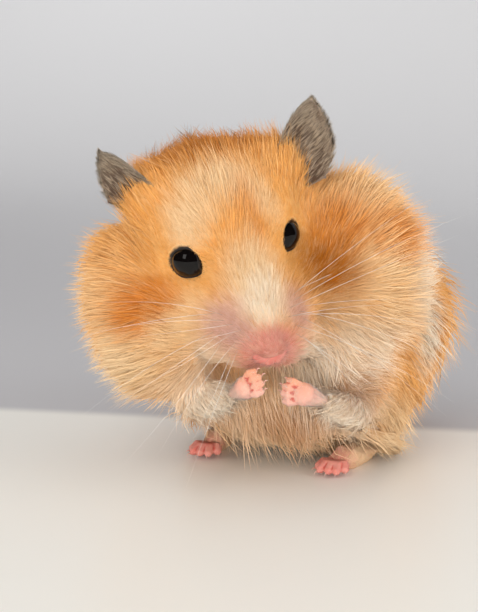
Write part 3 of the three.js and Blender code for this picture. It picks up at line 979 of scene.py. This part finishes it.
def tufts(roots, rng, rings, width, gather, pull, ruffle, guard=0.0):
    """The tufts of one piece as arrays: tapered three-sided spikes that rise from the skin and lie over."""
    count = len(roots.places)
    stray = rng.uniform(0, 1, count) < guard
    length = roots.length * rng.uniform(0.7, 1.2, count) * (1 + 0.35 * stray)
    rise = roots.rise * (1 + 0.22 * ruffle * rng.normal(size=count)) * (1 + 1.1 * stray)
    rise += 0.05 * swirl(roots.places, 9, 3) + 0.06 * swirl(roots.places, 3.5, 11)
    turn = 0.26 * swirl(roots.places, 14, 5) + 0.13 * ruffle * rng.normal(size=count)
    across = np.cross(roots.normals, roots.lie)
    flat = roots.lie * np.cos(turn)[:, None] + across * np.sin(turn)[:, None]
    size = (length * MM)[:, None]

    def along(angle):
        return flat * np.cos(angle)[:, None] + roots.normals * np.sin(angle)[:, None]

    sunk, bend_at = 0.25 * MM, 0.45
    start = roots.places - roots.normals * sunk
    bend = start + along(rise * 1.5) * size * bend_at
    tip = bend + along(rise * 0.55) * size * (1 - bend_at)
    tip, lock = gathered(tip, roots.places, gather, pull, rng)
    over = size[:, 0] * np.sin(np.clip(rise, 0.08, 1.2))
    free = np.where(stray, 2.0, 1.1)
    tip = roots.ground.settled(tip, over * 0.45 + 0.15 * MM, over * free + 0.3 * MM)
    bend = roots.ground.settled(bend + (tip - bend) * 0.04, over * 0.45, over * free * 0.9 + 0.2 * MM)
    drop = np.maximum(start[:, 2] - tip[:, 2], 1e-9)
    kept = np.where(tip[:, 2] < FLOOR_GAP, np.clip((start[:, 2] - FLOOR_GAP) / drop, 0.1, 1), 1.0)[:, None]
    tip, bend = start + (tip - start) * kept, start + (bend - start) * kept
    thick = width * (length ** 0.55) * rng.uniform(0.75, 1.2, count) * (1 - 0.3 * stray)
    side = unit(np.cross(roots.normals, tip - start))
    upward = unit(np.cross(tip - start, side))
    spin = rng.uniform(0, 2 * math.pi, count)
    points, normals, far = [], [], []
    for ring, (centre, share) in enumerate(((start, 0.5), (bend, 0.42))[:rings]):
        for k in range(3):
            angle = spin + 2 * math.pi * k / 3
            out = side * np.cos(angle)[:, None] + upward * np.sin(angle)[:, None]
            points.append(centre + out * (thick * share * MM)[:, None])
            normals.append(unit(roots.normals * 0.9 + out))
            far.append(np.full(count, bend_at * ring))
    points.append(tip)
    normals.append(unit(roots.normals * 0.9 + upward * 0.5))
    far.append(np.ones(count))
    points = np.stack(points, 1)
    points[:, :, 2] = np.maximum(points[:, :, 2], FLOOR_GAP)
    return points, np.stack(normals, 1), np.stack(far, 1), lock


# The kinds of tuft: rings of corners, width at the root of a tuft one millimetre long, how many tufts make a
# lock, how far its tips are drawn together, how much tufts stray from the lie, and the share of long strays.
LOCKS = {"rings": 2, "width": 0.085, "gather": 7, "pull": 0.55, "ruffle": 0.9, "guard": 0.08}
HAIRS = {"rings": 1, "width": 0.055, "gather": 11, "pull": 0.5, "ruffle": 1.2, "guard": 0.2}
VELVET = {"rings": 1, "width": 0.07, "gather": 4, "pull": 0.15, "ruffle": 1.0}


def coat_piece(name, fields, material, rng):
    """One piece of the coat as a mesh of closed tufts.

    Fields: a ground, its triangles, how many tufts, their habit and the kind of down they are, if any.
    """
    parts, kept = [], []
    for ground, triangles, amount, habit, kind_of_down in fields:
        roots = Roots(ground, triangles, amount, rng)
        points, normals, far, lock = tufts(roots, rng, **habit)
        each, last = points.shape[1], points.shape[1] - 4
        spike = [(0, 2, 1), *woven(habit["rings"], 3, columns_meet=True)]
        spike += [(last + k, last + (k + 1) % 3, last + 3) for k in range(3)]
        faces = (np.array(spike) + (np.arange(amount) * each)[:, None, None]).reshape(-1, 3)
        parts.append((points.reshape(-1, 3), faces))
        tone = 0.38 * rng.uniform(0, 1, amount) + 0.5 * rng.uniform(0, 1, amount)[lock]
        tone += 0.12 * (1 + swirl(roots.places, 2.6, 17)).clip(0, 1)
        fan = np.broadcast_to(0.35 * np.cos(2.1 * np.arange(each)), (amount, each))
        spot = roots.map[:, None, :] + 0.003 * np.stack([fan, far - 0.5], -1)
        kept.append({
            "root_place": np.repeat(roots.places, each, axis=0), "along": far.ravel(),
            "tone": np.repeat(tone, each),
            **{down: np.full(amount * each, float(down == kind_of_down)) for down in DOWN},
            "normals": normals.reshape(-1, 3), "map": np.clip(spot, 0.001, 0.999).reshape(-1, 2)})
    points, faces = joined(parts)
    kept = {key: np.concatenate([field[key] for field in kept]) for key in kept[0]}
    normals, spots = kept.pop("normals"), kept.pop("map")
    mesh = mesh_from(name, points, faces)
    for key, values in kept.items():
        keep(mesh, key, values)
    layer = mesh.uv_layers.new(name="OFBake")
    layer.data.foreach_set("uv", spots[faces.ravel()].astype(np.float32).ravel())
    mesh.normals_split_custom_set_from_vertices(normals.astype(np.float32))
    place_piece(name, mesh, material)


def coat_regions(skin):
    """The coat's pieces: name, the skin's triangles it grows from, its locks and hairs, and its slot."""
    corners = skin.shell.triangles
    owner = np.array(FURRED)[skin.nearest[corners[:, 0]]]
    part = np.array([kind(node) for node in FURRED])[skin.nearest[corners[:, 0]]]
    middles = skin.shell.points[corners].mean(1)
    ahead = FACE.measured(middles)[:, 1]
    eye_gap, nose_gap, hand_gap, lips = (
        gap[corners].mean(1) for gap in (skin.eye_gap, skin.nose_gap, skin.hand_gap, skin.lips))
    nose_rim, eye_rim, mouth, hand_rim, floor_rim = 1.2, 0.35, 0.9, 0.3, 0.9
    growing = (nose_gap > nose_rim) & (eye_gap > eye_rim) & (lips < mouth) & (hand_gap > hand_rim)
    growing &= middles[:, 2] > floor_rim * MM
    on_head = np.isin(part, ("head", "muzzle"))
    short = growing & (np.isin(part, ("muzzle", "lower_jaw")) | (on_head & (ahead > 7)))
    brow = growing & on_head & ~short & ((ahead > -7) | (eye_gap < 7))
    crown = growing & on_head & ~short & ~brow
    limbs = growing & np.isin(part, ("forearm", "upper_arm", "tail"))
    body = growing & np.isin(part, ("neck", "trunk", "rump", "thigh"))
    front = body & (middles[:, 1] < 8 * MM)
    return (
        ("coat_muzzle", short, (4500, 32000), "pale_fur"),
        ("coat_brow", brow, (5500, 31000), "fur"),
        ("coat_crown", crown, (8000, 25000), "fur"),
        ("coat_cheek_left", growing & (owner == "cheek_left"), (8500, 26000), "fur"),
        ("coat_cheek_right", growing & (owner == "cheek_right"), (8500, 26000), "fur"),
        ("coat_arms", limbs, (4000, 20000), "pale_fur"),
        ("coat_front", front, (8500, 25000), "fur"),
        ("coat_back", body & ~front, (8500, 24000), "fur"),
    )


class HAMSTER_OT_coat(bpy.types.Operator):
    """Grow the coat over the skin, piece by piece, in tufts that follow its lie"""

    bl_idname = "hamster.coat"
    bl_label = "Coat"

    def execute(self, context):
        if "skin" not in ready:
            raise RuntimeError("make the skin before the coat")
        rng = np.random.default_rng(SEED)
        material, skin = coat_finish(), ready["skin"]
        for name, chosen, (locks, hairs), slot in coat_regions(skin):
            where = np.flatnonzero(chosen)
            fields = [(skin, where, locks, LOCKS, ""), (skin, where, hairs, HAIRS, "")]
            coat_piece(name, fields, material, rng)
        fields = []
        for down, ground, where, amount in ready["velvet"]:
            where = np.arange(len(ground.shell.triangles)) if where is None else where
            fields.append((ground, where, amount, VELVET, down))
        coat_piece("coat_down", fields, material, rng)
        return {"FINISHED"}


# ---------- eyes, claws and whiskers


class HAMSTER_OT_eyes(bpy.types.Operator):
    """Make the two eyes, each a ball with a slightly bulging front"""

    bl_idname = "hamster.eyes"
    bl_label = "Eyes"

    def execute(self, context):
        material = eye_finish()
        for side in SIDES:
            centre, radius = eye_size(side)
            points, triangles = ball((0, 0, 0), radius * MM, 5)
            bulge = 0.22 * ramp(unit(points) @ np.array(eye_axis(side)), 0.72, 1.0)
            points = points * (1 + bulge / radius)[:, None] + np.array(centre)
            name = f"eyeball_{side}"
            place_piece(name, mesh_from(name, points, triangles), material, (f"eye_{side}",))
        return {"FINISHED"}


def rod(centres, radii, side, over, around):
    """A tapered rod with closed ends: its points, faces and how far along it each point is."""
    turn = 2 * math.pi * np.arange(around) / around
    ring = np.cos(turn)[:, None] * side + np.sin(turn)[:, None] * over
    points = centres[:, None] + ring * radii[:, None, None]
    faces = woven(len(centres), around, columns_meet=True)
    for first, order in ((0, -1), ((len(centres) - 1) * around, 1)):
        faces += [(first, first + k, first + k + 1)[::order] for k in range(1, around - 1)]
    return points.reshape(-1, 3), np.array(faces), np.repeat(np.linspace(0, 1, len(centres)), around)


def claw_shape(node):
    """A curved claw on the line of its solid: points, faces and how far along each point is."""
    points, _ = welded(node)
    centre = points.mean(0)
    tip = points[np.argmax(np.linalg.norm(points - centre, axis=1))]
    tip = tip + (centre - tip) * (0.7 if "hand" in node else 0.45)
    foot = points[np.linalg.norm(points - tip, axis=1) > 0.6 * np.linalg.norm(centre - tip)].mean(0)
    way = unit(tip - foot)
    foot = foot - way * 0.7 * MM
    down = unit(np.array([0, 0, -1.0]) - way * -way[2])
    t = np.linspace(0, 1, 7)
    arch = 0.336 * MM * np.sin(math.pi * t)
    centres = foot + t[:, None] * (tip - foot) - arch[:, None] * down
    return rod(centres, 0.15 * MM * (1 - t) ** 0.7 + 0.02 * MM, 0.8 * np.cross(way, down), down, 8)


class HAMSTER_OT_claws(bpy.types.Operator):
    """Make the claws of hands and feet"""

    bl_idname = "hamster.claws"
    bl_label = "Claws"

    def execute(self, context):
        material = claw_finish()
        for node in sorted(frame["nodes"]):
            if node.startswith("claw_"):
                points, faces, far = claw_shape(node)
                name = node.replace("claw", "nail")
                mesh = mesh_from(name, points, faces)
                keep(mesh, "along", far)
                keep(mesh, "root_place", points)
                place_piece(name, mesh, material, (node,))
        return {"FINISHED"}


# The whiskers: where each roots on the face and which way it points, both across, ahead and up, and its share
# of the longest one's length.
WHISKERS = (
    ((6.5, 15.5, 1.5), (0.9, -0.05, 0.35), 1.0), ((7.5, 14, 0), (0.95, -0.25, 0.2), 1.0),
    ((6.8, 17, 0), (0.9, 0.2, 0.2), 0.95), ((7.8, 16, -1.5), (0.85, 0.35, 0.05), 0.9),
    ((6.2, 18.5, -1), (0.8, 0.5, 0.15), 0.85), ((7.6, 17.5, -3), (0.75, 0.6, -0.1), 0.8),
    ((8.2, 13, 1), (0.9, -0.45, 0.3), 0.85), ((5.8, 19.5, -2.6), (0.65, 0.75, 0.0), 0.65),
    ((8.6, 15, -3), (0.9, 0.1, -0.15), 0.75), ((5.4, 17.2, 1.4), (0.75, 0.1, 0.6), 0.55),
    ((9.0, 12, -0.5), (0.95, -0.2, 0.05), 0.7), ((6.6, 19.4, -4), (0.6, 0.8, -0.2), 0.5),
)
WHISKER_WIDTH = 0.085


def bristle(foot, way, droop, length):
    """One tapered, gently curved whisker: points, faces and how far along each point is."""
    side, over = ring_axes(way, Vector((0.3, 0.2, 0.9)).normalized())
    t = np.linspace(0, 1, 12)
    centres = t[:, None] * np.array(way) + 0.5 * (t * t)[:, None] * np.array(droop)
    radii = 0.5 * WHISKER_WIDTH * MM * (1 - 0.9 * t)
    return rod(np.array(foot) + centres * length * MM, radii, np.array(side), np.array(over), 4)


class HAMSTER_OT_whiskers(bpy.types.Operator):
    """Set the whiskers of both sides of the muzzle"""

    bl_idname = "hamster.whiskers"
    bl_label = "Whiskers"

    def execute(self, context):
        if "skin" not in ready:
            raise RuntimeError("make the skin before the whiskers")
        shell = ready["skin"].shell
        tree = BVHTree.FromPolygons(shell.points.tolist(), shell.triangles.tolist())
        rng = np.random.default_rng(SEED + 1)
        low, high = (np.array(corner) for corner in SOLID_BOX)
        spare = 0.025 * (high - low) + 9 * MM  # how far whiskers may stand proud of the solids
        low, high = low - spare * (1, 1, 0), high + spare
        parts, far = [], []
        for side in SIDES.values():
            for (left, *at), (out, ahead, up), share in WHISKERS:
                foot = tree.find_nearest(FACE.point(left * side, *at))[0]
                ahead += rng.uniform(-0.08, 0.08)
                up += rng.uniform(-0.08, 0.08)
                way = FACE.way(out * side, ahead, up)
                droop = Vector((0, 0.12 * side, -0.35)) + FACE.ahead * rng.uniform(-0.45, 0.2)
                length = context.scene.hamster_body.whisker_length * share * rng.uniform(0.9, 1.05)
                points, faces, t = bristle(foot, way, droop, length)
                while (points < low).any() or (points > high).any():
                    length *= 0.95
                    points, faces, t = bristle(foot, way, droop, length)
                parts.append((points, faces))
                far.append(t)
        mesh = mesh_from("whiskers", *joined(parts))
        keep(mesh, "along", np.concatenate(far))
        place_piece("whiskers", mesh, whisker_finish())
        return {"FINISHED"}


# ---------- stage


def floor_finish():
    """A pale floor, warm white in front and cool grey behind, with a soft change between and painted light up
    the wall.
    """
    finish = Finish("floor", Specular_IOR_Level=0.35)
    here = finish.node("ShaderNodeTexCoord").outputs["Object"]
    split = finish.node("ShaderNodeSeparateXYZ", None, {"Vector": here})
    x, y = Value(finish, split.outputs["X"]), Value(finish, split.outputs["Y"])
    behind = (y * 0.958 - x * 0.286 - 0.0245).rise(-0.004, 0.004)
    near = finish.blend(finish.grain(here, 18.0) * 0.3, (0.89, 0.88, 0.84), (0.86, 0.85, 0.81))
    # Painted light: the grey is darkest just behind the line and lightens farther back and up the wall.
    far = finish.blend(y.rise(0.1, 0.9), (0.55, 0.55, 0.58), (0.84, 0.85, 0.88))
    finish.wear(Base_Color=finish.blend(behind, near, far), Roughness=0.35 + behind * 0.5)
    return finish.material


def backdrop(material):
    """A sheet for the stage: a flat floor that curves up into a wall."""
    bend, radius, width, steps = 0.45, 0.6, 1.8, 16  # in metres
    turns = [math.pi / 2 * i / steps for i in range(steps + 1)]
    profile = [(-width, 0.0), *((bend + radius * math.sin(a), radius * (1 - math.cos(a))) for a in turns),
               (bend + radius, width)]
    points = [(x, y, z) for y, z in profile for x in (-width, width)]
    faces = [(2 * i, 2 * i + 1, 2 * i + 3, 2 * i + 2) for i in range(len(profile) - 1)]
    sheet = link("floor", mesh_from("floor", points, faces))
    sheet.data.materials.append(material)


def stand(name, data, aim, azimuth, elevation, distance):
    """Puts a lamp or camera at a distance from its aim, in metres, and turns it to look at it."""
    flat = math.cos(elevation)
    away = Vector((math.sin(azimuth) * flat, -math.cos(azimuth) * flat, math.sin(elevation)))
    holder = link(name, data)
    holder.location = aim + away * distance
    holder.rotation_euler = away.to_track_quat("Z", "Y").to_euler()
    return holder


WARM, WHITE = (1.0, 0.97, 0.93), (1.0, 1.0, 1.0)
# The lamps: azimuth and elevation in degrees, distance and size in metres, share of the light, and colour.
LAMPS = {
    "key": (2, 38, 0.62, (0.24, 0.36), 0.38, WARM), "fill": (30, 4, 0.8, (0.8, 0.16), 1.85, WARM),
    "left_side": (-45, 7, 0.8, (0.4, 0.24), 0.6, WARM), "right_side": (95, 20, 0.8, (0.4, 0.5), 0.9, WARM),
    "top": (-150, 65, 0.9, (0.7, 0.7), 0.1, WHITE), "wall": (-15, 45, 0.5, (0.3, 0.2), 0.12, WHITE),
}
WALL_AIM = Vector((-0.5, 1.05, 0.14))


class HAMSTER_OT_stage(bpy.types.Operator):
    """Lay the floor and hang the backdrop, lamps and camera"""

    bl_idname = "hamster.stage"
    bl_label = "Stage"

    def execute(self, context):
        scene, stage = context.scene, context.scene.hamster_stage
        backdrop(floor_finish())
        for name, (azimuth, elevation, distance, (width, height), share, colour) in LAMPS.items():
            light = bpy.data.lights.new(name, "AREA")
            light.shape, light.size, light.size_y = "RECTANGLE", width, height
            light.energy, light.color = stage.light * share, colour
            aim = WALL_AIM if name == "wall" else Vector(stage.aim)
            holder = stand(name, light, aim, math.radians(azimuth), math.radians(elevation), distance)
            holder.visible_glossy = name == "key"
        world = bpy.data.worlds.new("room")
        world.use_nodes = True
        sky = world.node_tree.nodes["Background"].inputs
        sky["Color"].default_value, sky["Strength"].default_value = (0.9, 0.88, 0.85, 1.0), 0.72
        world.cycles_visibility.glossy = False
        scene.world = world
        scene.view_settings.view_transform = "Standard"
        camera = bpy.data.cameras.new("camera")
        camera.lens, camera.sensor_width = stage.lens, 36.0
        camera.clip_start, camera.clip_end = 0.02, 20.0
        scene.camera = stand(
            "camera", camera, Vector(stage.aim), stage.azimuth, stage.elevation, stage.distance)
        return {"FINISHED"}


# ---------- the add-on


class HAMSTER_PT_panel(bpy.types.Panel):
    """The hamster's steps and settings in the sidebar"""

    bl_idname = "HAMSTER_PT_panel"
    bl_label = "Hamster"
    bl_space_type = "VIEW_3D"
    bl_region_type = "UI"
    bl_category = "Hamster"

    def draw(self, context):
        for step in STEPS:
            self.layout.operator(step.bl_idname)
        for name in GROUPS:
            group, box = getattr(context.scene, name), self.layout.box()
            for setting in group.__annotations__:
                box.prop(group, setting)


STEPS = (HAMSTER_OT_skin, HAMSTER_OT_eyes, HAMSTER_OT_claws, HAMSTER_OT_coat, HAMSTER_OT_whiskers,
         HAMSTER_OT_stage)
GROUPS = {"hamster_body": HamsterBody, "hamster_colours": HamsterColours, "hamster_stage": HamsterStage}


def register():
    for cls in (*GROUPS.values(), *STEPS, HAMSTER_PT_panel):
        bpy.utils.register_class(cls)
    for name, group in GROUPS.items():
        setattr(bpy.types.Scene, name, PointerProperty(type=group))


def unregister():
    for name in GROUPS:
        delattr(bpy.types.Scene, name)
    for cls in (HAMSTER_PT_panel, *STEPS, *GROUPS.values()):
        bpy.utils.unregister_class(cls)


def main():
    """Registers the add-on's classes and makes every piece in order."""
    register()
    for step in STEPS:
        family, name = step.bl_idname.split(".")
        getattr(getattr(bpy.ops, family), name)()


if __name__ == "__main__":
    main()
